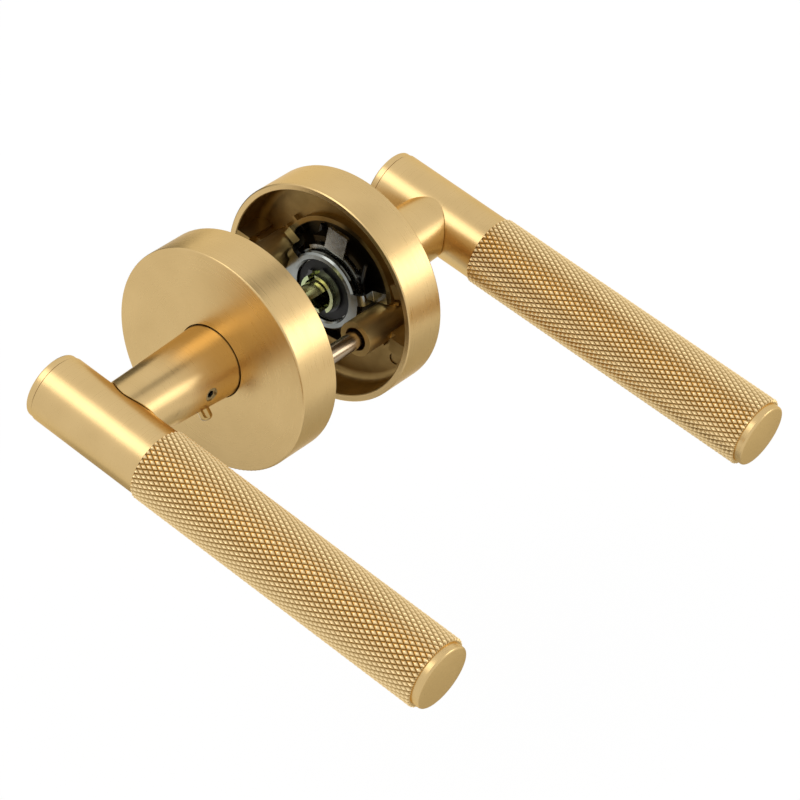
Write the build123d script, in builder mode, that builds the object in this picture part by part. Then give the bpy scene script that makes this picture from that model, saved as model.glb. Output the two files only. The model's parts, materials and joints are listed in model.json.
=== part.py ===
"""Privacy door lever set: two knurled levers on round roses, joined through a door.

The spindle lies along Y through the origin, which is the middle of the door's thickness.
The interior lever is at -Y, the exterior lever at +Y. Both levers reach along +X, and +Z is up.
A "distance" below is measured along the spindle from the middle of the door, on either side.
"""
import os
from math import asin, cos, degrees, pi, radians, sin

from build123d import *

# Door and roses
door_thickness = 30.5
rose_radius = 33.0
rose_depth = 13.5
rose_wall = 2.0
rose_face = 3.2
rose_edge_fillet = 0.5
rim_chamfer = 0.3
cast_corner_fillet = 2.4
cover_wall = 1.6
cover_face = 1.7
cover_clearance = 0.3
base_floor = 2.6
base_wall = 2.2
base_gap = 0.55

# Through-bolts and the posts that take them
bolt_spacing = 38.0
bolt_radius = 2.55
bolt_thread_clearance = 0.1
bolt_hole_radius = 2.9
bolt_head_radius = 4.2
bolt_head_height = 3.2
bolt_drive_across = 3.0
bolt_drive_depth = 2.0
head_recess = 1.1
head_clearance = 0.25
post_radius = 5.2
post_mouth_radius = 3.5
post_mouth_depth = 6.0
post_stand_out = 5.8
post_blind_floor = 2.0
base_post_length = 5.4
rib_thickness = 2.2
rib_drop = 3.4

# Details cast into the exterior cup; turns are anticlockwise from the right, seen from outside
wall_block_width = 4.4
wall_block_depth = 4.7
wall_block_drop = 0.3
wall_lug_turn = 145.0
wall_lug_width = 4.2
wall_lug_depth = 3.0
wall_lug_drop = 1.0
locating_pin_turn = 189.3
locating_pin_place = 29.2
locating_pin_radius = 0.9
locating_pin_drop = 4.75
ejector_mark_turn = 211.2
ejector_mark_place = 26.6
ejector_mark_radius = 1.7
ejector_mark_depth = 0.4
floor_rib_length = 4.8
floor_rib_thickness = 1.0
floor_rib_gap = 0.25
floor_rib_height = 1.6

# Lever neck
neck_base_radius = 10.6
neck_waist_radius = 9.6
neck_tip_radius = 8.8
neck_gap = 0.35
neck_sink = 1.65
neck_floor_gap = 0.3
neck_base_chamfer = 0.3
projection = 40.5
saddle_gap = 0.2
saddle_chamfer = 0.25
tenon_radius = 5.0
tenon_clearance = 0.1

# Lever grip, measured along X from the spindle
plain_radius = 9.9
sleeve_radius = 10.5
sleeve_bore_radius = 8.5
sleeve_edge_chamfer = 0.35
sleeve_start = 18.5
short_reach = 20.0
long_reach = 116.5
short_cap_radius = 9.6
short_cap_thickness = 2.3
short_cap_groove = 0.3
short_cap_groove_depth = 0.7
cap_edge_fillet = 0.5
end_cap_radius = 9.4
end_cap_length = 2.5
end_cap_dome = 0.35
end_cap_edge = 0.6
bar_bore_radius = 6.0
bar_bore_end = 9.0
bar_spigot_length = 25.0
spigot_clearance = 0.1
short_spigot_length = 5.0
end_spigot_length = 10.0
end_spigot_wall = 2.0

# Hub, bush and spindle
hub_radius = 5.8
hub_bore_radius = 4.7
hub_reach_in_neck = 23.0
hub_slot_width = 2.6
hub_slot_depth = 3.4
hub_slot_lean = 35.0
hub_fit = 0.05
bush_clearance = 0.06
bush_wall = 1.1
bush_seat_fit = 0.03
boss_wall = 1.6
spindle_radius = 4.2
spindle_half_gap = 0.3
spindle_end_gap = 3.0
spindle_end_chamfer = 0.5
spindle_pin_radius = 1.0
spindle_pin_fit = 0.03
spindle_pin_inset = 0.1
spindle_pin_distance = 40.0

# Return spring, its driver and the bridge plate over them
chamber_radius = 18.6
chamber_wall = 1.6
chamber_wall_height = 2.65
spring_radius = 9.6
spring_wire_radius = 0.55
spring_pitch = 1.2
spring_turns = 2.5
spring_leg = 14.0
spring_floor_gap = 0.55
driver_gap = 0.3
driver_thickness = 1.0
driver_ring_radius = 12.2
driver_lug_inner = 12.0
driver_lug_radius = 13.2
driver_lug_drop = 3.4
stop_tab_width = 6.8
stop_tab_reach = 20.2
stop_tab_gap = 0.55
stop_tab_joggle = 0.6
stop_tab_bend = 0.8
leg_gap = 0.2
fixed_lug_gap = 0.7
fixed_lug_thickness = 1.6
fixed_lug_height = 5.1
bridge_gap = 0.9
bridge_thickness = 1.6
bridge_bore_gap = 0.4
bridge_ring_radius = 11.65
bridge_bevel = 0.5
bridge_post_gap = 0.9
bridge_shoulder_height = 10.8
bridge_arm_width = 3.2
bridge_arm_post_gap = 0.45
bridge_leg_gap = 0.4
bridge_bend = 1.2
bridge_foot_gap = 0.05
bridge_foot_inset = 0.2
washer_gap = 0.2
washer_thickness = 1.0
washer_radius = 9.0
circlip_gap = 0.15
circlip_thickness = 0.7
circlip_radius = 6.5
circlip_groove_depth = 0.5
circlip_opening = 3.0
circlip_ear_radius = 0.9
hub_end_margin = 2.3

# Set screw, privacy pin and locking bar, in the interior neck
set_screw_radius = 2.0
set_screw_fit = 0.05
set_screw_angle = 6.0
set_screw_from_rose = 10.6
set_screw_recess = 0.5
set_screw_socket_across = 2.0
set_screw_socket_depth = 2.2
pin_angle = -43.0
pin_from_rose = 9.5
pin_radius = 1.75
pin_clearance = 0.05
pin_stand_out = 3.0
pin_tip_fillet = 1.2
pin_flange_radius = 2.4
pin_flange_thickness = 0.7
pin_seat_wall = 0.95
pin_seat_gap = 0.05
pin_pocket_radius = 2.7
pin_shank_radius = 1.0
pin_hub_hole_radius = 1.3
pin_tip_height = 2.0
pin_spring_radius = 1.8
pin_spring_wire_radius = 0.18
pin_spring_turns = 3.0
pin_spring_gap = 0.1
bar_ramp_gap = 0.2
bar_end_from_middle = 6.0

# How closely an edge's radius has to match when edges are picked by radius
ring_tolerance = 0.01

# Places worked out from the sizes above
rim = door_thickness / 2
face = rim + rose_depth
grip_distance = face + projection
neck_foot = face - neck_sink
exterior_floor = face - rose_face
cover_inside = face - cover_face
base_top = cover_inside - base_gap
interior_floor = base_top - base_floor
bush_radius = hub_radius + bush_clearance + bush_wall
boss_radius = bush_radius + boss_wall
bridge_shoulder_radius = bolt_spacing / 2 - post_radius - bridge_post_gap
bridge_arm_offset = post_radius + bridge_arm_post_gap + bridge_arm_width / 2
bridge_arm_angle = degrees(asin(bridge_arm_offset / (bolt_spacing / 2)))
arm_angles = [post + turn for post in (0, 180) for turn in (bridge_arm_angle, -bridge_arm_angle)]
bridge_arm_reach = driver_lug_radius + bridge_leg_gap + bridge_thickness
bridge_foot_reach = chamber_radius + chamber_wall - bridge_foot_inset
sleeve_end = long_reach - end_cap_length
plain_start = short_cap_thickness - short_reach
spigot_radius = sleeve_bore_radius - spigot_clearance
spring_height = spring_pitch * spring_turns
leg_drift = spring_leg * spring_pitch / (2 * pi * spring_radius)

sides = {"interior": -1, "exterior": 1}
floors = {"interior": interior_floor, "exterior": exterior_floor}

# Heights of the spring stack above each rose floor, towards the door
spring_start = spring_wire_radius + spring_floor_gap
driver_low = spring_start + spring_height + leg_drift + spring_wire_radius + driver_gap
driver_high = driver_low + driver_thickness
bridge_low = driver_high + bridge_gap
bridge_high = bridge_low + bridge_thickness
washer_low = driver_high + washer_gap
washer_high = washer_low + washer_thickness
circlip_low = washer_high + circlip_gap
circlip_high = circlip_low + circlip_thickness
hub_end = circlip_high + hub_end_margin
boss_height = driver_low - driver_gap

pin_direction = Vector(cos(radians(pin_angle)), 0, sin(radians(pin_angle)))
screw_direction = Vector(cos(radians(set_screw_angle)), 0, sin(radians(set_screw_angle)))
pin_origin = Vector(0, -(face + pin_from_rose), 0)
screw_origin = Vector(0, -(face + set_screw_from_rose), 0)


def write(piece, name):
    """Label a finished sub-part and write it as its own file."""
    piece.part.label = name
    export_step(piece.part, f"parts/{name}.step")


def rings(piece, radius):
    """The piece's circular edges of one radius."""
    circles = piece.edges().filter_by(GeomType.CIRCLE)
    return circles.filter_by(lambda edge: abs(edge.radius - radius) < ring_tolerance)


def across(side, distance):
    """Plane square to the spindle, its normal away from the door and its second axis up."""
    return Plane(origin=(0, side * distance, 0), x_dir=(-side, 0, 0), z_dir=(0, side, 0))


def turned(side, outline):
    """Add the solid that an outline of (radius, distance) points sweeps about the spindle."""
    with BuildSketch(Plane.XY) as profile:
        with BuildLine():
            Polyline(*[(radius, side * distance) for radius, distance in outline], close=True)
        make_face()
    revolve(profile.sketch, axis=Axis.Y)


def grip_axis(side):
    return Axis((0, side * grip_distance, 0), (1, 0, 0))


def turned_grip(side, outline):
    """Add the solid that an outline of (x, radius) points sweeps about the grip's axis."""
    with BuildSketch(Plane.XY) as profile:
        with BuildLine():
            Polyline(*[(x, side * (grip_distance + radius)) for x, radius in outline], close=True)
        make_face()
    revolve(profile.sketch, axis=grip_axis(side))


def neck_radius_at(distance):
    """Radius of the neck's waisted outline, taken as straight between its waist and its base."""
    waist = face + projection / 2
    return neck_base_radius + (neck_waist_radius - neck_base_radius) * (distance - face) / (waist - face)


def arc_lug(inner, outer):
    """Add the face of an arc-shaped lug about the upright, as wide as the spring's legs leave room."""
    half_angle = degrees(asin((spring_radius - spring_wire_radius - leg_gap) / outer))
    start = 90 - half_angle
    with BuildLine() as outline:
        CenterArc((0, 0), inner, start, 2 * half_angle)
        CenterArc((0, 0), outer, start, 2 * half_angle)
        for angle in (start, 180 - start):
            Line(
                (inner * cos(radians(angle)), inner * sin(radians(angle))),
                (outer * cos(radians(angle)), outer * sin(radians(angle))),
            )
    make_face(outline.edges())


def radial(side, floor, angle):
    """Plane through the spindle at one angle: out from its axis, and up from a rose's floor."""
    out = Vector(cos(radians(angle)), 0, sin(radians(angle)))
    return Plane(origin=(0, side * floor, 0), x_dir=out, z_dir=out.cross(Vector(0, -side, 0)))


def bent_strip(plane, width, thickness, bend, points):
    """Add a strip of sheet metal, bent along a line of (radius, height) points."""
    with BuildSketch(plane) as section:
        with BuildLine():
            FilletPolyline(*points, radius=bend)
        trace(line_width=thickness)
    extrude(section.sketch, amount=width / 2, both=True)


def slot_turn(side):
    """Angle of the hub's slot in a plane across the spindle, so that both hubs lean the same way."""
    return 90 - side * hub_slot_lean


def spring_seat(side, floor):
    """Add the fixed lug that stands between the return spring's legs."""
    inner = driver_lug_radius + fixed_lug_gap
    with BuildSketch(across(side, floor - fixed_lug_height)) as seat:
        arc_lug(inner, inner + fixed_lug_thickness)
    extrude(seat.sketch, amount=fixed_lug_height)


def make_exterior_rose():
    """Cast cup with bolt posts, a boss for the bush and a walled chamber for the spring."""
    side = sides["exterior"]
    floor = exterior_floor
    seat_radius = bush_radius + bush_seat_fit
    inner_radius = rose_radius - rose_wall
    neck_hole = neck_base_radius + neck_gap
    outline = [
        (seat_radius, floor - boss_height),
        (boss_radius, floor - boss_height),
        (boss_radius, floor),
        (chamber_radius, floor),
        (chamber_radius, floor - chamber_wall_height),
        (chamber_radius + chamber_wall, floor - chamber_wall_height),
        (chamber_radius + chamber_wall, floor),
        (inner_radius, floor),
        (inner_radius, rim),
        (rose_radius, rim),
        (rose_radius, face),
        (neck_hole, face),
        (neck_hole, neck_foot - neck_floor_gap),
        (seat_radius, neck_foot - neck_floor_gap),
    ]
    post_end = rim - post_stand_out
    with BuildPart() as rose:
        turned(side, outline)
        fillet(rings(rose, rose_radius).sort_by(Axis.Y)[-1], rose_edge_fillet)
        fillet(rings(rose, inner_radius).sort_by(Axis.Y)[-1], cast_corner_fillet)
        chamfer(rings(rose, rose_radius).sort_by(Axis.Y)[0], rim_chamfer)
        chamfer(rings(rose, inner_radius).sort_by(Axis.Y)[0], rim_chamfer)
        with BuildSketch(across(side, post_end)):
            with GridLocations(bolt_spacing, 0, 2, 1):
                Circle(post_radius)
        extrude(amount=floor - post_end)
        with BuildSketch(across(side, rim + rib_drop)):
            rib_reach = inner_radius - bolt_spacing / 2
            with GridLocations(bolt_spacing + rib_reach, 0, 2, 1):
                Rectangle(rib_reach, rib_thickness)
        extrude(amount=floor - rim - rib_drop)
        with BuildSketch(across(side, rim + wall_block_drop)):
            with GridLocations(2 * inner_radius - wall_block_depth, 0, 2, 1):
                Rectangle(wall_block_depth, wall_block_width)
        extrude(amount=floor - rim - wall_block_drop)
        with BuildSketch(across(side, rim + wall_lug_drop)):
            lug_length = wall_lug_depth + rose_wall / 2
            with PolarLocations(inner_radius + (rose_wall - lug_length) / 2, 1, start_angle=wall_lug_turn):
                Rectangle(lug_length, wall_lug_width)
        extrude(amount=floor - rim - wall_lug_drop)
        with BuildSketch(across(side, rim + locating_pin_drop)):
            with PolarLocations(locating_pin_place, 1, start_angle=locating_pin_turn):
                Circle(locating_pin_radius)
        extrude(amount=floor - rim - locating_pin_drop)
        with BuildSketch(across(side, floor)):
            with PolarLocations(ejector_mark_place, 1, start_angle=ejector_mark_turn):
                Circle(ejector_mark_radius)
        extrude(amount=ejector_mark_depth, mode=Mode.SUBTRACT)
        rib_spacing = bridge_arm_width + 2 * floor_rib_gap + floor_rib_thickness
        with BuildSketch(across(side, floor - floor_rib_height)):
            for angle in arm_angles:
                with Locations(Rot(0, 0, angle)):
                    with Locations((chamber_radius + chamber_wall / 2, 0)):
                        with GridLocations(0, rib_spacing, 1, 2):
                            Rectangle(floor_rib_length, floor_rib_thickness)
        extrude(amount=floor_rib_height)
        spring_seat(side, floor)
        with BuildSketch(across(side, post_end)):
            with GridLocations(bolt_spacing, 0, 2, 1):
                Circle(bolt_radius + bolt_thread_clearance)
        extrude(amount=floor - post_end - post_blind_floor, mode=Mode.SUBTRACT)
        with BuildSketch(across(side, post_end)):
            with GridLocations(bolt_spacing, 0, 2, 1):
                Circle(post_mouth_radius)
        extrude(amount=post_mouth_depth, mode=Mode.SUBTRACT)
    write(rose, "exterior_rose")


def make_interior_rose():
    """Plain turned cover that slips over the interior base."""
    side = sides["interior"]
    inner_radius = rose_radius - cover_wall
    neck_hole = neck_base_radius + neck_gap
    with BuildPart() as cover:
        turned(side, [
            (inner_radius, rim),
            (rose_radius, rim),
            (rose_radius, face),
            (neck_hole, face),
            (neck_hole, cover_inside),
            (inner_radius, cover_inside),
        ])
        fillet(rings(cover, rose_radius).sort_by(Axis.Y)[0], rose_edge_fillet)
        chamfer(rings(cover, rose_radius).sort_by(Axis.Y)[-1], rim_chamfer)
    write(cover, "interior_rose")


def make_interior_base():
    """Cast base under the interior rose, clamped to the door by the through-bolts."""
    side = sides["interior"]
    floor = interior_floor
    seat_radius = bush_radius + bush_seat_fit
    outer_radius = rose_radius - cover_wall - cover_clearance
    inner_radius = outer_radius - base_wall
    post_end = floor - base_post_length
    with BuildPart() as base:
        turned(side, [
            (seat_radius, floor - boss_height),
            (boss_radius, floor - boss_height),
            (boss_radius, floor),
            (chamber_radius, floor),
            (chamber_radius, floor - chamber_wall_height),
            (chamber_radius + chamber_wall, floor - chamber_wall_height),
            (chamber_radius + chamber_wall, floor),
            (inner_radius, floor),
            (inner_radius, rim),
            (outer_radius, rim),
            (outer_radius, base_top),
            (seat_radius, base_top),
        ])
        with BuildSketch(across(side, post_end)):
            with GridLocations(bolt_spacing, 0, 2, 1):
                Circle(post_radius)
        extrude(amount=floor - post_end)
        spring_seat(side, floor)
        with BuildSketch(across(side, post_end)):
            with GridLocations(bolt_spacing, 0, 2, 1):
                Circle(bolt_hole_radius)
        extrude(amount=base_top - post_end, mode=Mode.SUBTRACT)
        with BuildSketch(across(side, base_top - head_recess - bolt_head_height)):
            with GridLocations(bolt_spacing, 0, 2, 1):
                Circle(bolt_head_radius + head_clearance)
        extrude(amount=head_recess + bolt_head_height, mode=Mode.SUBTRACT)
    write(base, "interior_base")


def make_through_bolts():
    """Two socket-head bolts, from the interior base to the posts of the exterior rose."""
    side = sides["interior"]
    seat = base_top - head_recess - bolt_head_height
    tip = exterior_floor - post_blind_floor - bolt_thread_clearance
    with BuildPart() as bolts:
        with BuildSketch(across(side, seat)):
            with GridLocations(bolt_spacing, 0, 2, 1):
                Circle(bolt_head_radius)
        extrude(amount=bolt_head_height)
        with BuildSketch(across(side, seat)):
            with GridLocations(bolt_spacing, 0, 2, 1):
                Circle(bolt_radius)
        extrude(amount=-(seat + tip))
        with BuildSketch(across(side, seat + bolt_head_height - bolt_drive_depth)):
            with GridLocations(bolt_spacing, 0, 2, 1):
                RegularPolygon(bolt_drive_across / 2, 6, major_radius=False)
        extrude(amount=bolt_drive_depth, mode=Mode.SUBTRACT)
    write(bolts, "through_bolts")


def make_bush(side_name):
    """Plain nylon bearing in the boss, in which the hub turns."""
    side = sides[side_name]
    floor = floors[side_name]
    outer_end = neck_foot - neck_floor_gap if side_name == "exterior" else base_top
    bore = hub_radius + bush_clearance
    with BuildPart() as bush:
        turned(side, [
            (bore, floor - boss_height),
            (bush_radius, floor - boss_height),
            (bush_radius, outer_end),
            (bore, outer_end),
        ])
    write(bush, f"{side_name}_bush")


def make_hub(side_name):
    """Slotted tube that carries the lever, drives the spring and holds the spindle."""
    side = sides[side_name]
    end = floors[side_name] - hub_end
    groove_low = floors[side_name] - circlip_high
    groove_high = floors[side_name] - circlip_low
    groove_radius = hub_radius - circlip_groove_depth
    far_end = face + hub_reach_in_neck
    with BuildPart() as hub:
        turned(side, [
            (hub_bore_radius, end),
            (hub_radius, end),
            (hub_radius, groove_low),
            (groove_radius, groove_low),
            (groove_radius, groove_high),
            (hub_radius, groove_high),
            (hub_radius, far_end),
            (hub_bore_radius, far_end),
        ])
        with BuildSketch(across(side, end)):
            with Locations(Rot(0, 0, slot_turn(side))):
                Rectangle(3 * hub_radius, hub_slot_width)
        extrude(amount=hub_slot_depth, mode=Mode.SUBTRACT)
        if side_name == "interior":
            with BuildSketch(Plane(pin_origin, z_dir=pin_direction)):
                Circle(pin_hub_hole_radius)
            extrude(amount=2 * hub_radius, mode=Mode.SUBTRACT)
        else:
            with BuildSketch(Plane((0, spindle_pin_distance, 0), z_dir=pin_direction)):
                Circle(spindle_pin_radius + spindle_pin_fit)
            extrude(amount=2 * hub_radius, both=True, mode=Mode.SUBTRACT)
    write(hub, f"{side_name}_hub")


def make_spring_driver(side_name):
    """Stamped disc on the hub: a bent lug between the spring's legs, and a tab that stops the turn."""
    side = sides[side_name]
    floor = floors[side_name]
    middle = (driver_low + driver_high) / 2
    tab_start = bridge_ring_radius + stop_tab_gap
    with BuildPart() as driver:
        with BuildSketch(across(side, floor - driver_high)):
            Circle(driver_ring_radius)
            Circle(hub_radius + hub_fit, mode=Mode.SUBTRACT)
        extrude(amount=driver_thickness)
        with BuildSketch(across(side, floor - driver_high)):
            arc_lug(driver_lug_inner, driver_lug_radius)
        extrude(amount=driver_thickness + driver_lug_drop)
        bent_strip(radial(side, floor, 90), stop_tab_width, driver_thickness, stop_tab_bend, (
            (driver_lug_inner - stop_tab_bend, middle),
            (tab_start, middle),
            (tab_start + stop_tab_joggle, middle + stop_tab_joggle),
            (stop_tab_reach, middle + stop_tab_joggle),
        ))
    write(driver, f"{side_name}_spring_driver")


def make_return_spring(side_name):
    """Torsion spring round the boss, with both legs standing up beside the lugs."""
    side = sides[side_name]
    start = side * (floors[side_name] - spring_start)
    coil_plane = Plane(origin=(0, start, 0), x_dir=(-side, 0, 0), z_dir=(0, -side, 0))
    with BuildLine() as coil:
        turns = Helix(spring_pitch, spring_height, spring_radius)
        Line(turns @ 0, turns @ 0 - (turns % 0) * spring_leg)
        Line(turns @ 1, turns @ 1 + (turns % 1) * spring_leg)
    path = coil_plane.location * Wire(coil.edges())
    with BuildPart() as spring:
        with BuildSketch(Plane(origin=path @ 0, z_dir=path % 0)):
            Circle(spring_wire_radius)
        sweep(path=path)
    write(spring, f"{side_name}_return_spring")


def make_spring_plate(side_name):
    """Stamped steel bridge over the spring: a ring on four bent legs, footed on the chamber's wall."""
    side = sides[side_name]
    floor = floors[side_name]
    middle = (bridge_low + bridge_high) / 2
    foot = chamber_wall_height + bridge_foot_gap + bridge_thickness / 2
    leg = bridge_arm_reach - bridge_thickness / 2
    ring_bore = washer_radius + bridge_bore_gap
    with BuildPart() as plate:
        turned(side, [
            (ring_bore, floor - bridge_low),
            (bridge_ring_radius, floor - bridge_low),
            (bridge_ring_radius, floor - bridge_high + bridge_bevel),
            (bridge_ring_radius - bridge_bevel, floor - bridge_high),
            (ring_bore + bridge_bevel, floor - bridge_high),
            (ring_bore, floor - bridge_high + bridge_bevel),
        ])
        with BuildSketch(across(side, floor - bridge_high)):
            Circle(bridge_shoulder_radius)
            Rectangle(2 * bridge_shoulder_radius, bridge_shoulder_height, mode=Mode.INTERSECT)
            Circle(bridge_ring_radius - bridge_bevel, mode=Mode.SUBTRACT)
        extrude(amount=bridge_thickness)
        for angle in arm_angles:
            bent_strip(radial(side, floor, angle), bridge_arm_width, bridge_thickness, bridge_bend, (
                ((ring_bore + bridge_ring_radius) / 2, middle),
                (leg, middle),
                (leg, foot),
                (bridge_foot_reach, foot),
            ))
    write(plate, f"{side_name}_spring_plate")


def make_washer(side_name):
    """Black nylon thrust washer on the hub."""
    side = sides[side_name]
    floor = floors[side_name]
    with BuildPart() as washer:
        with BuildSketch(across(side, floor - washer_high)):
            Circle(washer_radius)
            Circle(hub_radius + hub_fit, mode=Mode.SUBTRACT)
        extrude(amount=washer_thickness)
    write(washer, f"{side_name}_washer")


def make_circlip(side_name):
    """Open retaining ring in the hub's groove."""
    side = sides[side_name]
    floor = floors[side_name]
    with BuildPart() as circlip:
        with BuildSketch(across(side, floor - circlip_high)):
            Circle(circlip_radius)
            with Locations(Rot(0, 0, slot_turn(side))):
                with Locations((circlip_radius, 0)):
                    Rectangle(circlip_radius, circlip_opening, mode=Mode.SUBTRACT)
                ear_offset = circlip_opening / 2 + circlip_ear_radius
                with Locations((circlip_radius - circlip_ear_radius, 0)):
                    with GridLocations(0, 2 * ear_offset, 1, 2):
                        Circle(circlip_ear_radius)
            Circle(hub_radius - circlip_groove_depth + hub_fit, mode=Mode.SUBTRACT)
        extrude(amount=circlip_thickness)
    write(circlip, f"{side_name}_circlip")


def make_neck(side_name):
    """Waisted neck, bored for the hub and saddled to the grip, with a tenon into the bar."""
    side = sides[side_name]
    bore = hub_radius + hub_fit
    bore_end = face + hub_reach_in_neck + hub_fit
    waist = face + projection / 2
    with BuildPart() as neck:
        with BuildSketch(Plane.XY):
            with BuildLine():
                Polyline(
                    (neck_tip_radius, side * grip_distance),
                    (0, side * grip_distance),
                    (0, side * bore_end),
                    (bore, side * bore_end),
                    (bore, side * neck_foot),
                    (neck_base_radius, side * neck_foot),
                    (neck_base_radius, side * face),
                )
                ThreePointArc(
                    (neck_base_radius, side * face),
                    (neck_waist_radius, side * waist),
                    (neck_tip_radius, side * grip_distance),
                )
            make_face()
        revolve(axis=Axis.Y)
        chamfer(rings(neck, neck_base_radius).sort_by(Axis.Y)[-1 if side < 0 else 0], neck_base_chamfer)
        with BuildSketch(Plane.YZ):
            with Locations((side * grip_distance, 0)):
                Circle(plain_radius + saddle_gap)
        extrude(amount=2 * neck_base_radius, both=True, mode=Mode.SUBTRACT)
        saddle = neck.faces().filter_by(GeomType.CYLINDER).sort_by(lambda part: side * part.center().Y)[-1]
        chamfer(saddle.edges(), saddle_chamfer)
        tenon_end = grip_distance - bar_bore_radius - tenon_clearance
        with BuildSketch(across(side, bore_end + tenon_radius)):
            Circle(tenon_radius)
        extrude(amount=tenon_end - bore_end - tenon_radius)
        if side_name == "interior":
            with BuildSketch(Plane(screw_origin, z_dir=screw_direction)):
                Circle(set_screw_radius + set_screw_fit)
            extrude(amount=2 * neck_base_radius, mode=Mode.SUBTRACT)
            with BuildSketch(Plane(pin_origin, z_dir=pin_direction)):
                Circle(pin_radius + pin_clearance)
            extrude(amount=2 * neck_base_radius, mode=Mode.SUBTRACT)
            with BuildSketch(Plane(pin_origin, z_dir=pin_direction)):
                Circle(pin_pocket_radius)
            extrude(amount=neck_radius_at(face + pin_from_rose) - pin_seat_wall, mode=Mode.SUBTRACT)
    write(neck, f"{side_name}_neck")


def make_grip_bar(side_name):
    """Plain bar across the neck, bored from its short end, with a spigot for the sleeve."""
    side = sides[side_name]
    spigot_end = sleeve_start + bar_spigot_length
    with BuildPart() as bar:
        turned_grip(side, [
            (plain_start, bar_bore_radius),
            (plain_start, plain_radius),
            (sleeve_start, plain_radius),
            (sleeve_start, spigot_radius),
            (spigot_end, spigot_radius),
            (spigot_end, 0),
            (bar_bore_end, 0),
            (bar_bore_end, bar_bore_radius),
        ])
        with BuildSketch(across(side, grip_distance)):
            Circle(tenon_radius + tenon_clearance)
        extrude(amount=-2 * plain_radius, mode=Mode.SUBTRACT)
    write(bar, f"{side_name}_grip_bar")


def make_knurled_sleeve(side_name):
    """Tube over the bar's spigot, at the diameter over the knurl's points."""
    side = sides[side_name]
    edge = sleeve_edge_chamfer
    with BuildPart() as sleeve:
        turned_grip(side, [
            (sleeve_start, sleeve_bore_radius),
            (sleeve_start, sleeve_radius - edge),
            (sleeve_start + edge, sleeve_radius),
            (sleeve_end - edge, sleeve_radius),
            (sleeve_end, sleeve_radius - edge),
            (sleeve_end, sleeve_bore_radius),
        ])
    write(sleeve, f"{side_name}_knurled_sleeve")


def make_short_cap(side_name):
    """Disc that closes the bar's short end, with a spigot in the bore."""
    side = sides[side_name]
    spigot = bar_bore_radius - spigot_clearance
    with BuildPart() as cap:
        turned_grip(side, [
            (-short_reach, 0),
            (-short_reach, short_cap_radius),
            (plain_start - short_cap_groove, short_cap_radius),
            (plain_start - short_cap_groove, short_cap_radius - short_cap_groove_depth),
            (plain_start, short_cap_radius - short_cap_groove_depth),
            (plain_start, spigot),
            (plain_start + short_spigot_length, spigot),
            (plain_start + short_spigot_length, 0),
        ])
        fillet(rings(cap, short_cap_radius).sort_by(Axis.X)[0], cap_edge_fillet)
    write(cap, f"{side_name}_short_cap")


def make_end_cap(side_name):
    """Stepped-in cap at the long end, slightly domed, with a hollow spigot in the sleeve."""
    side = sides[side_name]
    spigot_end = sleeve_end - end_spigot_length
    hollow = spigot_radius - end_spigot_wall
    shoulder = long_reach - end_cap_dome
    with BuildPart() as cap:
        with BuildSketch(Plane.XY):
            with BuildLine():
                Polyline(*[(x, side * (grip_distance + radius)) for x, radius in (
                    (long_reach, 0),
                    (sleeve_end, 0),
                    (sleeve_end, hollow),
                    (spigot_end, hollow),
                    (spigot_end, spigot_radius),
                    (sleeve_end, spigot_radius),
                    (sleeve_end, end_cap_radius),
                    (shoulder, end_cap_radius),
                )])
                dome_middle = (end_cap_radius / 2, end_cap_dome / 4)
                ThreePointArc(
                    (shoulder, side * (grip_distance + end_cap_radius)),
                    (long_reach - dome_middle[1], side * (grip_distance + dome_middle[0])),
                    (long_reach, side * grip_distance),
                )
            make_face()
        revolve(axis=grip_axis(side))
        fillet(rings(cap, end_cap_radius).sort_by(Axis.X)[-1], end_cap_edge)
    write(cap, f"{side_name}_end_cap")


def half_round(direction_sign):
    """Add the face of a half-round bar, on the pin's side (+1) or opposite it (-1)."""
    with BuildLine() as outline:
        edge = direction_sign * spindle_half_gap
        half_chord = (spindle_radius**2 - spindle_half_gap**2) ** 0.5
        Line((edge, -half_chord), (edge, half_chord))
        ThreePointArc((edge, half_chord), (direction_sign * spindle_radius, 0), (edge, -half_chord))
    make_face(outline.edges())


def make_spindle():
    """Half-round bar that joins the two hubs through the latch."""
    far_end = face + hub_reach_in_neck - spindle_end_gap
    with BuildPart() as spindle:
        with BuildSketch(Plane((0, -far_end, 0), x_dir=pin_direction, z_dir=(0, 1, 0))):
            half_round(-1)
        extrude(amount=2 * far_end)
        ends = spindle.faces().sort_by(Axis.Y)
        chamfer(ends[0].edges() + ends[-1].edges(), spindle_end_chamfer)
        with BuildSketch(Plane((0, spindle_pin_distance, 0), z_dir=pin_direction)):
            Circle(spindle_pin_radius + spindle_pin_fit)
        extrude(amount=2 * hub_radius, both=True, mode=Mode.SUBTRACT)
    write(spindle, "spindle")


def make_spindle_pin():
    """Cross pin that fixes the spindle in the exterior hub."""
    with BuildPart() as pin:
        with BuildSketch(Plane((0, spindle_pin_distance, 0), z_dir=pin_direction)):
            Circle(spindle_pin_radius)
        extrude(amount=hub_radius - spindle_pin_inset, both=True)
    write(pin, "spindle_pin")


def make_set_screw():
    """Hex-socket grub screw that clamps the interior neck to its hub."""
    top = neck_radius_at(face + set_screw_from_rose) - set_screw_recess
    foot = hub_radius + hub_fit
    with BuildPart() as screw:
        with BuildSketch(Plane(screw_origin + screw_direction * foot, z_dir=screw_direction)):
            Circle(set_screw_radius)
        extrude(amount=top - foot)
        with BuildSketch(Plane(screw_origin + screw_direction * top, z_dir=screw_direction)):
            RegularPolygon(set_screw_socket_across / 2, 6, major_radius=False)
        extrude(amount=-set_screw_socket_depth, mode=Mode.SUBTRACT)
    write(screw, "set_screw")


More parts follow.
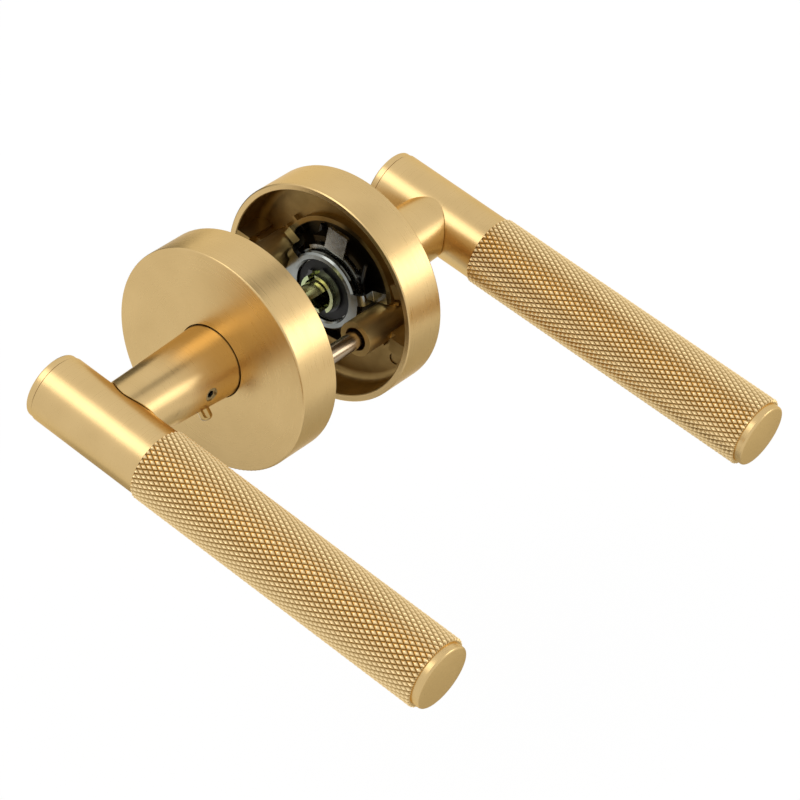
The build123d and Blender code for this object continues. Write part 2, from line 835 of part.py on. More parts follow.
def make_privacy_pin():
    """Push pin through the neck's wall, flanged inside and pointed towards the locking bar."""
    surface = neck_radius_at(face + pin_from_rose)
    flange_top = surface - pin_seat_wall - pin_seat_gap
    flange_foot = flange_top - pin_flange_thickness
    outline_plane = Plane(pin_origin, x_dir=(0, 1, 0), z_dir=Vector(0, 1, 0).cross(pin_direction))
    with BuildPart() as pin:
        with BuildSketch(outline_plane):
            with BuildLine():
                Polyline(
                    (0, pin_tip_height),
                    (pin_shank_radius, pin_tip_height + pin_shank_radius),
                    (pin_shank_radius, flange_foot),
                    (pin_flange_radius, flange_foot),
                    (pin_flange_radius, flange_top),
                    (pin_radius, flange_top),
                    (pin_radius, surface + pin_stand_out),
                    (0, surface + pin_stand_out),
                    close=True,
                )
            make_face()
        revolve(axis=Axis(pin_origin, pin_direction))
        fillet(rings(pin, pin_radius).sort_by(Axis(pin_origin, pin_direction))[-1], pin_tip_fillet)
    write(pin, "privacy_pin")


def make_pin_spring():
    """Small coil that pushes the privacy pin out, round its shank inside the neck."""
    flange_top = neck_radius_at(face + pin_from_rose) - pin_seat_wall - pin_seat_gap
    bottom = hub_radius + pin_spring_gap + pin_spring_wire_radius
    top = flange_top - pin_flange_thickness - pin_spring_gap - pin_spring_wire_radius
    with BuildLine() as coil:
        Helix((top - bottom) / pin_spring_turns, top - bottom, pin_spring_radius)
    coil_plane = Plane(pin_origin + pin_direction * bottom, z_dir=pin_direction)
    path = coil_plane.location * coil.wire()
    with BuildPart() as spring:
        with BuildSketch(Plane(origin=path @ 0, z_dir=path % 0)):
            Circle(pin_spring_wire_radius)
        sweep(path=path)
    write(spring, "pin_spring")


def make_locking_bar():
    """Half-round bar beside the spindle, ramped so that the pushed pin drives it to the latch."""
    ramp_y = pin_origin.Y - pin_tip_height + bar_ramp_gap
    start = ramp_y - spindle_radius
    with BuildPart() as bar:
        with BuildSketch(Plane((0, start, 0), x_dir=pin_direction, z_dir=(0, 1, 0))):
            half_round(1)
        extrude(amount=-bar_end_from_middle - start)
        ramp_normal = Vector(0, 1, 0) - pin_direction
        split(bisect_by=Plane((0, ramp_y, 0), z_dir=ramp_normal), keep=Keep.TOP)
    write(bar, "locking_bar")


os.makedirs("parts", exist_ok=True)
make_exterior_rose()
make_interior_rose()
make_interior_base()
make_through_bolts()
for side_name in sides:
    make_bush(side_name)
    make_hub(side_name)
    make_spring_driver(side_name)
    make_return_spring(side_name)
    make_spring_plate(side_name)
    make_washer(side_name)
    make_circlip(side_name)
    make_neck(side_name)
    make_grip_bar(side_name)
    make_knurled_sleeve(side_name)
    make_short_cap(side_name)
    make_end_cap(side_name)
make_spindle()
make_spindle_pin()
make_set_screw()
make_privacy_pin()
make_pin_spring()
make_locking_bar()
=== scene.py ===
"""Looks of the privacy door lever: knurled grips, brushed brass, plated steel and a plain white studio."""

import json
from math import pi, radians, tan

import bmesh
import bpy
from mathutils import Matrix, Vector


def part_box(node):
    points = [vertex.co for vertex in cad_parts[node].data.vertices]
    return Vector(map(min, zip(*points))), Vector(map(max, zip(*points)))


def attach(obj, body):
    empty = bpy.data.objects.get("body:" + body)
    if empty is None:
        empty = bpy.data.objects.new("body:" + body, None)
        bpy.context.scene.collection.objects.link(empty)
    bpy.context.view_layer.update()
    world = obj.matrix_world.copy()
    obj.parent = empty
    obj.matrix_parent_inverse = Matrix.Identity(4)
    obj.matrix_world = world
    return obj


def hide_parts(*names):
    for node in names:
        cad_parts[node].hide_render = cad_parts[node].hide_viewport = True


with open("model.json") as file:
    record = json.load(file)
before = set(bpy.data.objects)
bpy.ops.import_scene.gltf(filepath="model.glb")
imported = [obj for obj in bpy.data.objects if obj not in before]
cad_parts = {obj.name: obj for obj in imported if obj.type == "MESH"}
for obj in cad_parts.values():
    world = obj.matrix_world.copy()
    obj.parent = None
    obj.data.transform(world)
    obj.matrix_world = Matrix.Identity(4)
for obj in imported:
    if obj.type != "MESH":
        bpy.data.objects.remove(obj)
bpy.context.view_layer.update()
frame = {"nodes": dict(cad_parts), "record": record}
nodes = frame["nodes"]
scene = bpy.context.scene

# Lengths are in metres. The camera's place and turn were fitted to the photograph.
image_width = 800
sensor_width = 36.0
camera_focal_pixels = 3568.0
camera_place = Vector((0.4140, -0.6148, 0.6347))
camera_right = Vector((0.750, 0.637, 0.179))
camera_up = Vector((-0.537, 0.427, 0.728))
camera_reach = 20.0

# Diamond knurl of the grips: grooves each way, their slope and depth, and the flat left on each diamond
knurl_starts = 42
knurl_helix_angle = radians(29.5)
knurl_depth = 0.00048
knurl_flat = 0.2
knurl_cells = 8
sleeve_bore = 0.0085
sleeve_edge = 0.00035

# Satin brass, as it looks against white; the cup's inside is darker with painted shade
brass_light, brass_dark = (0.67, 0.475, 0.220), (0.60, 0.420, 0.188)
brass_edge_tint = (1.0, 0.84, 0.56, 1.0)
brass_rough = (0.27, 0.33)
grain_share, patch_share = 0.4, 0.6
rose_rough = (0.26, 0.36)
cup_extra_rough = 0.10
# The cup's inside is brass darkened as painted shade; the cast brass pieces take the same darkened colours
shaded_cup_light, shaded_cup_dark = (0.34, 0.225, 0.085), (0.24, 0.155, 0.055)
# The bolt posts are painted lighter than the shaded cup, a painted light
lit_post_brass = (0.56, 0.385, 0.150)
# The spring's chamber is painted near black, a painted shade in the recess
chamber_painted_shade = (0.055, 0.042, 0.026)
# A painted highlight on the knurl's tops and painted shade in its pits
knurl_top_highlight, knurl_pit_shade = (0.97, 0.75, 0.42), (0.24, 0.145, 0.050)
knurl_highlight_fade, knurl_shade_fade = (0.1, 0.6), (0.6, 1.0)

# Black nylon of the washers
nylon_light, nylon_dark = (0.012, 0.012, 0.011), (0.006, 0.006, 0.006)
nylon_rough = (0.42, 0.60)

# Where the finish and the painted shade inside a rose change, out from the spindle or along it
cup_radius = 0.0312
cup_floor = 0.0262
chamber_radius = 0.0188
chamber_mouth = 0.0203
post_place = 0.019
post_radius = 0.0053

# Round skins: the rose's rounded edge, the neck's lean, and how close a facet has to be to the true round
rose_round_radius = 0.0325
rose_shoulder = 0.02825
shoulder_fade = 0.0004
neck_taper = 0.045
facet_match = 0.8
least_lean = 0.0000001

# Patterns: noise to the metre, how far it drifts round a turned piece, and how high it stands
turned_scale, turned_drift, turned_height = 9000.0, 0.0004, 0.0000012
rim_scale, rim_drift, rim_height = 3600.0, 0.0016, 0.000015
face_line_share = 0.06
drawn_scale, drawn_height = 6000.0, 0.000003
cast_scale, cast_height, cup_dent_share = 1300.0, 0.00003, 1.6
plated_scale, plated_height = 700.0, 0.0000012
wire_scale, polished_height = 900.0, 0.000001
nylon_scale, nylon_height = 1800.0, 0.00001
brass_patch_scale, metal_patch_scale = 90.0, 160.0

# Studio: the floor lies under the levers' lowest swing, and the cards on it stand a little clear of it
floor_drop = 0.13
floor_width = 6.0
floor_paper = (0.9, 0.9, 0.9, 1.0)
floor_glow, floor_glow_share = 1.05, 0.88
world_light = 0.6
white = (1.0, 1.0, 1.0, 1.0)
lamp_aim = Vector((0.04, 0.0, 0.0))
card_gap = 0.003
card_height = card_gap - floor_drop
card_rough = 0.9
up, down, rightwards = (0, 0, 1), (0, 0, -1), (1, 0, 0)

# Which way each brass piece was brushed or turned: about the spindle or about its own grip
spindle_turned = ("interior_rose", "exterior_rose", "interior_neck", "exterior_neck")
grip_turned = ("grip_bar", "short_cap", "end_cap", "knurled_sleeve")
sides = ("interior", "exterior")


def new_material(name):
    """An empty node material with its shader and output joined."""
    material = bpy.data.materials.new(name)
    material.use_nodes = True
    tree = material.node_tree
    tree.nodes.clear()
    output = tree.nodes.new("ShaderNodeOutputMaterial")
    shader = tree.nodes.new("ShaderNodeBsdfPrincipled")
    tree.links.new(shader.outputs["BSDF"], output.inputs["Surface"])
    return material, tree, shader


def add_math(tree, operation, first, second=None):
    """A Math node on sockets or plain numbers; returns its result."""
    node = tree.nodes.new("ShaderNodeMath")
    node.operation = operation
    for index, value in enumerate((first, second)):
        if value is None:
            continue
        if isinstance(value, (int, float)):
            node.inputs[index].default_value = value
        else:
            tree.links.new(value, node.inputs[index])
    return node.outputs[0]


def add_length(tree, first, second):
    """The length of a line from its two parts at a right angle."""
    squares = [add_math(tree, "MULTIPLY", value, value) for value in (first, second)]
    return add_math(tree, "SQRT", add_math(tree, "ADD", *squares))


def turned_coordinates(tree, axis, centre, drift):
    """Coordinates along a turning axis, out from it and slowly round it; also the first two by themselves."""
    place = tree.nodes.new("ShaderNodeTexCoord")
    shift = tree.nodes.new("ShaderNodeVectorMath")
    shift.operation = "SUBTRACT"
    shift.inputs[1].default_value = centre
    tree.links.new(place.outputs["Object"], shift.inputs[0])
    split = tree.nodes.new("ShaderNodeSeparateXYZ")
    tree.links.new(shift.outputs[0], split.inputs[0])
    first, second = [name for name in "XYZ" if name != axis]
    out = add_length(tree, split.outputs[first], split.outputs[second])
    turn = add_math(tree, "ARCTAN2", split.outputs[second], split.outputs[first])
    join = tree.nodes.new("ShaderNodeCombineXYZ")
    tree.links.new(split.outputs[axis], join.inputs[0])
    tree.links.new(out, join.inputs[1])
    # The sine keeps the grain whole across the seam where the angle jumps
    tree.links.new(add_math(tree, "MULTIPLY", add_math(tree, "SINE", turn), drift), join.inputs[2])
    return join.outputs[0], split.outputs[axis], out


def add_noise(tree, vector, scale, detail=2.0):
    """Smooth noise at a place, mostly between 0.3 and 0.7."""
    noise = tree.nodes.new("ShaderNodeTexNoise")
    noise.inputs["Scale"].default_value = scale
    noise.inputs["Detail"].default_value = detail
    tree.links.new(vector, noise.inputs["Vector"])
    return noise.outputs["Fac"]


def object_noise(tree, scale, detail=2.0):
    """The same, at the piece's own coordinates."""
    place = tree.nodes.new("ShaderNodeTexCoord")
    return add_noise(tree, place.outputs["Object"], scale, detail)


def add_range(tree, value, low, high, from_low=0.3, from_high=0.7):
    """A value moved from one range to another; the first range is a noise's unless it is given."""
    spread = tree.nodes.new("ShaderNodeMapRange")
    spread.inputs["From Min"].default_value = from_low
    spread.inputs["From Max"].default_value = from_high
    spread.inputs["To Min"].default_value = low
    spread.inputs["To Max"].default_value = high
    tree.links.new(value, spread.inputs["Value"])
    return spread.outputs["Result"]


def add_blend(tree, amount, first, second):
    """A colour between two, each a plain colour or a socket."""
    blend = tree.nodes.new("ShaderNodeMix")
    blend.data_type = "RGBA"
    tree.links.new(amount, blend.inputs["Factor"])
    sockets = [socket for socket in blend.inputs if socket.type == "RGBA"]
    for socket, colour in zip(sockets, (first, second)):
        if isinstance(colour, tuple):
            socket.default_value = (*colour, 1.0)
        else:
            tree.links.new(colour, socket)
    return [socket for socket in blend.outputs if socket.type == "RGBA"][0]


def add_bump(tree, shader, pattern, height, normal=None):
    """Let a pattern stand out of the surface, or out of the direction that is given for it."""
    bump = tree.nodes.new("ShaderNodeBump")
    if normal:
        tree.links.new(normal, bump.inputs["Normal"])
    bump.inputs["Strength"].default_value = 1.0
    bump.inputs["Distance"].default_value = height
    tree.links.new(pattern, bump.inputs["Height"])
    tree.links.new(bump.outputs["Normal"], shader.inputs["Normal"])


def object_place(tree):
    """The X, Y and Z of a point on the piece."""
    place = tree.nodes.new("ShaderNodeTexCoord")
    split = tree.nodes.new("ShaderNodeSeparateXYZ")
    tree.links.new(place.outputs["Object"], split.inputs[0])
    return split.outputs


def true_round(tree, x, y, z):
    """A turned skin's own direction, which stands in for its facets' where the two are close."""
    join = tree.nodes.new("ShaderNodeCombineXYZ")
    for value, socket in zip((x, y, z), join.inputs):
        tree.links.new(value, socket)
    unit = tree.nodes.new("ShaderNodeVectorMath")
    unit.operation = "NORMALIZE"
    tree.links.new(join.outputs[0], unit.inputs[0])
    turn = tree.nodes.new("ShaderNodeVectorTransform")
    turn.vector_type = "NORMAL"
    turn.convert_from, turn.convert_to = "OBJECT", "WORLD"
    tree.links.new(unit.outputs[0], turn.inputs[0])
    facet = tree.nodes.new("ShaderNodeNewGeometry").outputs["Normal"]
    match = tree.nodes.new("ShaderNodeVectorMath")
    match.operation = "DOT_PRODUCT"
    tree.links.new(turn.outputs[0], match.inputs[0])
    tree.links.new(facet, match.inputs[1])
    close = add_math(tree, "GREATER_THAN", match.outputs["Value"], facet_match)
    blend = tree.nodes.new("ShaderNodeMix")
    blend.data_type = "VECTOR"
    tree.links.new(close, blend.inputs["Factor"])
    sockets = [socket for socket in blend.inputs if socket.type == "VECTOR" and socket.name != "Factor"]
    tree.links.new(facet, sockets[0])
    tree.links.new(turn.outputs[0], sockets[1])
    return [socket for socket in blend.outputs if socket.type == "VECTOR"][0]


def brass_tone(tree, grain):
    """The brass's colour, from its grain and from a slow change over the piece."""
    patches = object_noise(tree, brass_patch_scale)
    tone = add_math(
        tree, "ADD",
        add_math(tree, "MULTIPLY", grain, grain_share),
        add_math(tree, "MULTIPLY", patches, patch_share),
    )
    return add_blend(tree, add_range(tree, tone, 0.0, 1.0), brass_dark, brass_light)


def satin_brass(name, axis, centre, pitted=False, tapered=False):
    """Satin brass with a fine grain round a turning axis; a knurl's tops get a painted highlight and its pits
    painted shade.
    """
    material, tree, shader = new_material(name)
    shader.inputs["Metallic"].default_value = 1.0
    shader.inputs["Specular Tint"].default_value = brass_edge_tint
    vector, along, out = turned_coordinates(tree, axis, centre, turned_drift)
    grain = add_noise(tree, vector, turned_scale, detail=3.0)
    colour = brass_tone(tree, grain)
    if pitted:
        pit = tree.nodes.new("ShaderNodeAttribute")
        pit.attribute_name = "knurl_pit_shade"
        depth = pit.outputs["Fac"]
        # Painted highlight on the knurl's tops, then painted shade in its pits
        colour = add_blend(tree, add_range(tree, depth, 0.0, 1.0, *knurl_highlight_fade), knurl_top_highlight, colour)
        colour = add_blend(tree, add_range(tree, depth, 0.0, 1.0, *knurl_shade_fade), colour, knurl_pit_shade)
    tree.links.new(colour, shader.inputs["Base Color"])
    tree.links.new(add_range(tree, grain, *brass_rough), shader.inputs["Roughness"])
    skin = None
    if tapered:
        x, _, z = object_place(tree)
        slope = add_math(tree, "MULTIPLY", out, neck_taper)
        lean = add_math(tree, "MULTIPLY", slope, add_math(tree, "SIGN", along))
        skin = true_round(tree, x, lean, z)
    add_bump(tree, shader, grain, turned_height, normal=skin)
    return material


def cup_colour(tree, x, z, out, distance):
    """Colour inside the open rose: cast brass darkened as painted shade, bolt posts painted lighter, and a
    chamber painted darker still as shade, as photographed.
    """
    patches = object_noise(tree, metal_patch_scale)
    cup = add_blend(tree, add_range(tree, patches, 0.0, 1.0), shaded_cup_dark, shaded_cup_light)
    # Painted shade: the deep chamber inside the rose is darkened
    in_chamber = add_math(
        tree, "MULTIPLY",
        add_math(tree, "LESS_THAN", out, chamber_radius),
        add_math(tree, "GREATER_THAN", distance, chamber_mouth),
    )
    cup = add_blend(tree, in_chamber, cup, chamber_painted_shade)
    # Painted light: the bolt posts are lighter than the cup's painted shade
    aside = add_math(tree, "SUBTRACT", add_math(tree, "ABSOLUTE", x), post_place)
    on_post = add_math(tree, "LESS_THAN", add_length(tree, aside, z), post_radius)
    return add_blend(tree, on_post, cup, lit_post_brass)


def rose_edge(tree, x, y, z, out, distance):
    """The true direction of a rose's rim, face and the round between them."""
    beyond_round = add_math(tree, "MAXIMUM", add_math(tree, "SUBTRACT", out, rose_round_radius), 0.0)
    spoke = add_math(tree, "DIVIDE", beyond_round, out)
    # Never quite nothing, so that a point inside the cup still has a direction
    past_shoulder = add_math(tree, "SUBTRACT", distance, rose_shoulder)
    beyond_shoulder = add_math(tree, "MAXIMUM", past_shoulder, least_lean)
    return true_round(
        tree,
        add_math(tree, "MULTIPLY", x, spoke),
        add_math(tree, "MULTIPLY", beyond_shoulder, add_math(tree, "SIGN", y)),
        add_math(tree, "MULTIPLY", z, spoke),
    )


def rose_brass():
    """Satin brass of the roses: turned lines on the rim, fainter ones on the face, and a cast cup inside with
    painted shade.
    """
    material, tree, shader = new_material("rose_brass")
    shader.inputs["Metallic"].default_value = 1.0
    shader.inputs["Specular Tint"].default_value = brass_edge_tint
    vector, along, out = turned_coordinates(tree, "Y", Vector(), rim_drift)
    grain = add_noise(tree, vector, rim_scale, detail=3.0)
    distance = add_math(tree, "ABSOLUTE", along)
    x, y, z = object_place(tree)
    inside = add_math(
        tree, "MULTIPLY",
        add_math(tree, "LESS_THAN", out, cup_radius),
        add_math(tree, "LESS_THAN", distance, cup_floor),
    )
    cup = cup_colour(tree, x, z, out, distance)
    tree.links.new(add_blend(tree, inside, brass_tone(tree, grain), cup), shader.inputs["Base Color"])
    rough = add_math(
        tree, "ADD",
        add_range(tree, grain, *rose_rough),
        add_math(tree, "MULTIPLY", inside, cup_extra_rough),
    )
    tree.links.new(rough, shader.inputs["Roughness"])
    on_rim = add_range(tree, distance, 1.0, face_line_share, rose_shoulder, rose_shoulder + shoulder_fade)
    lines = add_math(tree, "MULTIPLY", grain, on_rim)
    skin = object_noise(tree, cast_scale, detail=4.0)
    dents = add_math(tree, "MULTIPLY", add_math(tree, "MULTIPLY", skin, inside), cup_dent_share)
    edge = rose_edge(tree, x, y, z, out, distance)
    add_bump(tree, shader, add_math(tree, "ADD", lines, dents), rim_height, normal=edge)
    return material


def drawn_steel(name, light, dark, rough):
    """Bright drawn steel with fine lines across the spindle's direction."""
    material, tree, shader = new_material(name)
    shader.inputs["Metallic"].default_value = 1.0
    vector, _, _ = turned_coordinates(tree, "Y", Vector(), turned_drift)
    grain = add_noise(tree, vector, drawn_scale, detail=3.0)
    colour = add_blend(tree, add_range(tree, grain, 0.0, 1.0), dark, light)
    tree.links.new(colour, shader.inputs["Base Color"])
    tree.links.new(add_range(tree, grain, *rough), shader.inputs["Roughness"])
    add_bump(tree, shader, grain, drawn_height)
    return material


def cast_metal(name, light, dark, rough, scale=plated_scale, height=plated_height):
    """Metal with an even, slightly pitted skin, as cast, plated or stamped."""
    material, tree, shader = new_material(name)
    shader.inputs["Metallic"].default_value = 1.0
    skin = object_noise(tree, scale)
    patches = add_range(tree, object_noise(tree, metal_patch_scale), 0.0, 1.0)
    tree.links.new(add_blend(tree, patches, dark, light), shader.inputs["Base Color"])
    tree.links.new(add_range(tree, skin, *rough), shader.inputs["Roughness"])
    add_bump(tree, shader, skin, height)
    return material


def black_nylon():
    """Black moulded nylon with a faint grain."""
    material, tree, shader = new_material("black_nylon")
    skin = object_noise(tree, nylon_scale, detail=3.0)
    colour = add_blend(tree, add_range(tree, skin, 0.0, 1.0), nylon_dark, nylon_light)
    tree.links.new(colour, shader.inputs["Base Color"])
    tree.links.new(add_range(tree, skin, *nylon_rough), shader.inputs["Roughness"])
    add_bump(tree, shader, skin, nylon_height)
    return material


def grip_centre(side):
    """A point on a grip's own axis, from its sleeve."""
    low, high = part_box(f"{side}_knurled_sleeve")
    return (low + high) / 2


def paint(name, material):
    """Give a CAD node one material."""
    mesh = nodes[name].data
    mesh.materials.clear()
    mesh.materials.append(material)


def blank_sleeve(side):
    """A plain closed sleeve, with a grid of points that the knurl's grooves run through corner to corner."""
    low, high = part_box(f"{side}_knurled_sleeve")
    radius = (high.z - low.z) / 2
    middle = (low.y + high.y) / 2
    start, end = low.x + sleeve_edge, high.x - sleeve_edge
    round_count = knurl_starts * knurl_cells
    row_length = 2 * pi * radius / round_count / tan(knurl_helix_angle)
    row_count = round((end - start) / row_length)
    outline = [(start + (end - start) * row / row_count, radius) for row in range(row_count + 1)]
    outline += [(high.x, radius - sleeve_edge), (high.x, sleeve_bore)]
    outline += [(low.x, sleeve_bore), (low.x, radius - sleeve_edge)]
    mesh = bmesh.new()
    rings = []
    for x, ring_radius in outline:
        ring = []
        for step in range(round_count):
            spoke = Matrix.Rotation(2 * pi * step / round_count, 3, "X") @ Vector((0, ring_radius, 0))
            ring.append(mesh.verts.new((x, middle + spoke.y, spoke.z)))
        rings.append(ring)
    for row in range(len(rings)):
        this, following = rings[row], rings[(row + 1) % len(rings)]
        for step in range(round_count):
            after = (step + 1) % round_count
            corners = (this[step], this[after], following[after], following[step])
            # A cell is cut along the groove that crosses it
            cuts = ((0, 1, 2), (0, 2, 3)) if (step - row) % knurl_cells == 0 else ((0, 1, 3), (1, 2, 3))
            for cut in cuts:
                mesh.faces.new([corners[index] for index in cut])
    bmesh.ops.recalc_face_normals(mesh, faces=mesh.faces)
    data = bpy.data.meshes.new(f"{side}_knurl")
    mesh.to_mesh(data)
    mesh.free()
    sleeve = bpy.data.objects.new(f"{side}_knurl", data)
    scene.collection.objects.link(sleeve)
    sizes = {
        "Start": start, "Lead": (end - start) / row_count * knurl_cells, "Radius": radius, "Axis Y": middle,
        "Starts": float(knurl_starts), "Depth": knurl_depth, "Flat": knurl_flat,
    }
    return sleeve, sizes


def knurl_tree():
    """Geometry Nodes that press two crossing sets of helical grooves into a sleeve along X."""
    tree = bpy.data.node_groups.new("diamond_knurl", "GeometryNodeTree")
    face = tree.interface
    face.new_socket("Geometry", in_out="INPUT", socket_type="NodeSocketGeometry")
    for label in ("Start", "Lead", "Radius", "Axis Y", "Starts", "Depth", "Flat"):
        face.new_socket(label, in_out="INPUT", socket_type="NodeSocketFloat")
    face.new_socket("Material", in_out="INPUT", socket_type="NodeSocketMaterial")
    face.new_socket("Geometry", in_out="OUTPUT", socket_type="NodeSocketGeometry")
    given = tree.nodes.new("NodeGroupInput").outputs
    position = tree.nodes.new("GeometryNodeInputPosition").outputs[0]
    split = tree.nodes.new("ShaderNodeSeparateXYZ")
    tree.links.new(position, split.inputs[0])
    above = split.outputs["Z"]
    along = add_math(tree, "SUBTRACT", split.outputs["X"], given["Start"])
    aside = add_math(tree, "SUBTRACT", split.outputs["Y"], given["Axis Y"])
    turn = add_math(tree, "DIVIDE", add_math(tree, "ARCTAN2", above, aside), 2 * pi)
    round_it = add_math(tree, "MULTIPLY", turn, given["Starts"])
    along_it = add_math(tree, "DIVIDE", along, given["Lead"])
    ridges = []
    for operation in ("ADD", "SUBTRACT"):
        # Distance to the nearest groove, from 0 in the groove to 1 half way between two
        phase = add_math(tree, operation, round_it, along_it)
        ridges.append(add_math(tree, "MULTIPLY", add_math(tree, "PINGPONG", phase, 0.5), 2.0))
    ridge = add_math(tree, "MINIMUM", *ridges)
    height = add_math(tree, "DIVIDE", ridge, add_math(tree, "SUBTRACT", 1.0, given["Flat"]))
    pit = add_math(tree, "SUBTRACT", 1.0, add_math(tree, "MINIMUM", height, 1.0))
    reach = add_length(tree, aside, above)
    # Only the outer rows are pressed, not the bore and the end faces
    deepest = add_math(tree, "SUBTRACT", given["Radius"], given["Depth"])
    outside = add_math(tree, "GREATER_THAN", reach, deepest)
    pit = add_math(tree, "MULTIPLY", pit, outside)
    press = add_math(tree, "MULTIPLY", pit, given["Depth"])
    share = add_math(tree, "MULTIPLY", add_math(tree, "DIVIDE", press, reach), -1.0)
    inward = tree.nodes.new("ShaderNodeCombineXYZ")
    for axis, value in (("Y", aside), ("Z", above)):
        tree.links.new(add_math(tree, "MULTIPLY", value, share), inward.inputs[axis])
    keep = tree.nodes.new("GeometryNodeStoreNamedAttribute")
    keep.data_type = "FLOAT"
    keep.inputs["Name"].default_value = "knurl_pit_shade"
    tree.links.new(given["Geometry"], keep.inputs["Geometry"])
    tree.links.new(pit, keep.inputs["Value"])
    move = tree.nodes.new("GeometryNodeSetPosition")
    tree.links.new(keep.outputs[0], move.inputs["Geometry"])
    tree.links.new(inward.outputs[0], move.inputs["Offset"])
    realize = tree.nodes.new("GeometryNodeRealizeInstances")
    tree.links.new(move.outputs[0], realize.inputs[0])
    cover = tree.nodes.new("GeometryNodeSetMaterial")
    tree.links.new(realize.outputs[0], cover.inputs["Geometry"])
    tree.links.new(given["Material"], cover.inputs["Material"])
    result = tree.nodes.new("NodeGroupOutput")
    tree.links.new(cover.outputs[0], result.inputs[0])
    return tree


def knurled_sleeve(side, tree, material):
    """The knurled sleeve of one lever, which stands for the plain CAD tube."""
    blank, sizes = blank_sleeve(side)
    sizes["Material"] = material
    modifier = blank.modifiers.new("knurl", "NODES")
    modifier.node_group = tree
    for item in tree.interface.items_tree:
        if item.in_out == "INPUT" and item.name in sizes:
            modifier[item.identifier] = sizes[item.name]
    bpy.context.view_layer.update()
    pressed = bpy.data.meshes.new_from_object(blank.evaluated_get(bpy.context.evaluated_depsgraph_get()))
    blank.modifiers.remove(modifier)
    blank.data = pressed
    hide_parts(f"{side}_knurled_sleeve")
    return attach(blank, f"{side}_lever")


def paint_brass():
    """The turned brass pieces; returns the brass of each knurl."""
    rose = rose_brass()
    neck = satin_brass("neck_brass", "Y", Vector(), tapered=True)
    for name in spindle_turned:
        paint(name, rose if name.endswith("rose") else neck)
    knurls = {}
    for side in sides:
        grip = satin_brass(f"{side}_grip_brass", "X", grip_centre(side))
        knurls[side] = satin_brass(f"{side}_knurl_brass", "X", grip_centre(side), pitted=True)
        for piece in grip_turned:
            paint(f"{side}_{piece}", grip)
    return knurls


def paint_fittings():
    """Every other piece, by its material slot; the spring plates are darker steel, a painted dark reflection,
    and the hubs have a tone of their own.
    """
    finishes = {
        # Cast brass takes the cup's colours, darkened as painted shade
        "cast_brass": cast_metal(
            "cast_brass", light=shaded_cup_light, dark=shaded_cup_dark, rough=(0.38, 0.52),
            scale=cast_scale, height=cast_height,
        ),
        "yellow_zinc": cast_metal(
            "yellow_zinc", light=(0.60, 0.62, 0.31), dark=(0.62, 0.53, 0.27), rough=(0.20, 0.30),
        ),
        "bright_steel": cast_metal(
            "stamped_steel", light=(0.46, 0.45, 0.40), dark=(0.33, 0.32, 0.29), rough=(0.19, 0.29),
        ),
        "spring_steel": cast_metal(
            "spring_wire", light=(0.10, 0.10, 0.10), dark=(0.06, 0.06, 0.06), rough=(0.28, 0.40),
            scale=wire_scale, height=polished_height,
        ),
        "bolt_steel": drawn_steel(
            "bolt_steel", light=(0.43, 0.335, 0.225), dark=(0.35, 0.27, 0.18), rough=(0.18, 0.28),
        ),
        "black_nylon": black_nylon(),
        "satin_brass": cast_metal(
            "pin_brass", light=(0.50, 0.34, 0.135), dark=(0.42, 0.28, 0.105), rough=(0.10, 0.18),
            height=polished_height,
        ),
    }
    done = set(spindle_turned) | {f"{side}_{piece}" for side in sides for piece in grip_turned}
    for subpart in frame["record"]["subparts"]:
        if subpart["node"] not in done:
            paint(subpart["node"], finishes[subpart["material_slot"]])
    # The spring plates are darkened steel, a painted dark reflection
    plate_steel_painted_reflection = cast_metal(
        "plate_steel_painted_reflection", light=(0.31, 0.32, 0.30), dark=(0.22, 0.23, 0.21), rough=(0.15, 0.23),
    )
    hub_zinc = cast_metal("hub_zinc", light=(0.55, 0.66, 0.38), dark=(0.56, 0.56, 0.31), rough=(0.20, 0.30))
    for side in sides:
        paint(f"{side}_spring_plate", plate_steel_painted_reflection)
        paint(f"{side}_hub", hub_zinc)


def add_camera():
    """A camera at the photograph's place, turn and focal length."""
    data = bpy.data.cameras.new("camera")
    data.sensor_width = sensor_width
    data.lens = camera_focal_pixels / image_width * sensor_width
    data.clip_end = camera_reach
    camera = bpy.data.objects.new("camera", data)
    scene.collection.objects.link(camera)
    right = camera_right.normalized()
    upright = (camera_up - right * camera_up.dot(right)).normalized()
    back = right.cross(upright)
    turn = Matrix((right, upright, back)).transposed().to_4x4()
    camera.matrix_world = Matrix.Translation(camera_place) @ turn
    scene.camera = camera


def background_share(tree):
    """1 for rays that should meet a white background, and 0 for rays that carry light."""
    path = tree.nodes.new("ShaderNodeLightPath")
    seen = add_math(tree, "MAXIMUM", path.outputs["Is Camera Ray"], path.outputs["Is Glossy Ray"])
    return add_math(tree, "MAXIMUM", seen, path.outputs["Is Transmission Ray"])


def add_world():
    """White to the camera and in reflections, and a plain light on everything else."""
    world = bpy.data.worlds.new("studio")
    world.use_nodes = True
    tree = world.node_tree
    tree.nodes.clear()
    output = tree.nodes.new("ShaderNodeOutputWorld")
    light = tree.nodes.new("ShaderNodeBackground")
    light.inputs["Strength"].default_value = world_light
    backdrop = tree.nodes.new("ShaderNodeBackground")
    mix = tree.nodes.new("ShaderNodeMixShader")
    for background in (light, backdrop):
        background.inputs["Color"].default_value = white
    tree.links.new(background_share(tree), mix.inputs["Fac"])
    tree.links.new(light.outputs[0], mix.inputs[1])
    tree.links.new(backdrop.outputs[0], mix.inputs[2])
    tree.links.new(mix.outputs[0], output.inputs["Surface"])
    scene.world = world


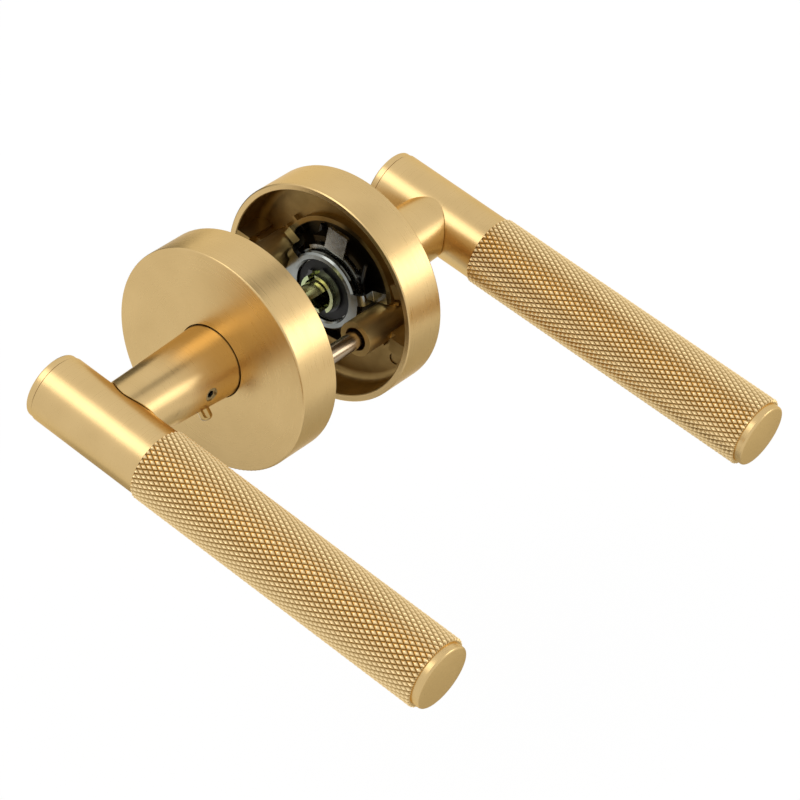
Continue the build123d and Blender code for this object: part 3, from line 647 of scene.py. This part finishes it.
def add_board(name, place, facing, size, material):
    """A flat board of the studio, which isn't part of the object."""
    mesh = bpy.data.meshes.new(name)
    turn = Vector(facing).to_track_quat("Z", "Y").to_matrix()
    half_width, half_height = size[0] / 2, size[1] / 2
    corners = [
        turn @ Vector((x * half_width, y * half_height, 0)) + Vector(place)
        for x, y in ((-1, -1), (1, -1), (1, 1), (-1, 1))
    ]
    mesh.from_pydata(corners, [], [(0, 1, 2, 3)])
    mesh.materials.append(material)
    board = bpy.data.objects.new(name, mesh)
    scene.collection.objects.link(board)
    return board


def add_floor():
    """A pale floor under the levers' lowest swing, white to the camera but for the object's shadow."""
    material = bpy.data.materials.new("pale_floor")
    material.use_nodes = True
    tree = material.node_tree
    tree.nodes.clear()
    output = tree.nodes.new("ShaderNodeOutputMaterial")
    paper = tree.nodes.new("ShaderNodeBsdfDiffuse")
    paper.inputs["Color"].default_value = floor_paper
    glow = tree.nodes.new("ShaderNodeEmission")
    glow.inputs["Strength"].default_value = floor_glow
    mix = tree.nodes.new("ShaderNodeMixShader")
    tree.links.new(add_math(tree, "MULTIPLY", background_share(tree), floor_glow_share), mix.inputs["Fac"])
    tree.links.new(paper.outputs[0], mix.inputs[1])
    tree.links.new(glow.outputs[0], mix.inputs[2])
    tree.links.new(mix.outputs[0], output.inputs["Surface"])
    add_board("floor", (0, 0, -floor_drop), up, (floor_width, floor_width), material)


def add_softbox(name, place, size, power):
    """A soft lamp that looks at the object."""
    data = bpy.data.lights.new(name, "AREA")
    data.shape = "RECTANGLE"
    data.size, data.size_y = size
    data.energy = power
    lamp = bpy.data.objects.new(name, data)
    scene.collection.objects.link(lamp)
    lamp.location = place
    lamp.rotation_euler = (lamp_aim - Vector(place)).to_track_quat("-Z", "Y").to_euler()


def add_flag(name, place, facing, size, shade):
    """A board that only the metal's reflections see, which darkens bands on the rounds and the end faces."""
    material, _, cloth = new_material(name)
    cloth.inputs["Base Color"].default_value = (shade, shade, shade, 1.0)
    cloth.inputs["Roughness"].default_value = card_rough
    board = add_board(name, place, facing, size, material)
    board.visible_camera = False
    board.visible_diffuse = False
    board.visible_shadow = False


def add_studio():
    """A white room with two soft lamps, and cards above, behind and under the object."""
    add_world()
    add_floor()
    add_softbox("left_softbox", place=(-0.46, -0.55, 0.80), size=(0.65, 0.55), power=2.1)
    add_softbox("right_softbox", place=(0.76, 0.69, 0.46), size=(0.42, 0.46), power=1.75)
    add_flag("back_flag", place=(0.005, 0.052, 0.15), facing=down, size=(0.045, 0.09), shade=0.45)
    add_flag("left_flag", place=(-0.12, 0.027, -0.022), facing=rightwards, size=(0.06, 0.115), shade=0.10)
    add_flag("floor_card", place=(0.115, 0.115, card_height), facing=up, size=(0.21, 0.30), shade=0.83)
    add_flag("front_card", place=(-0.01, -0.065, card_height), facing=up, size=(0.12, 0.11), shade=0.75)


knurl_brass = paint_brass()
paint_fittings()
diamond_knurl = knurl_tree()
for side_name in sides:
    knurled_sleeve(side_name, diamond_knurl, knurl_brass[side_name])
add_camera()
add_studio()
scene.view_settings.view_transform = "Standard"
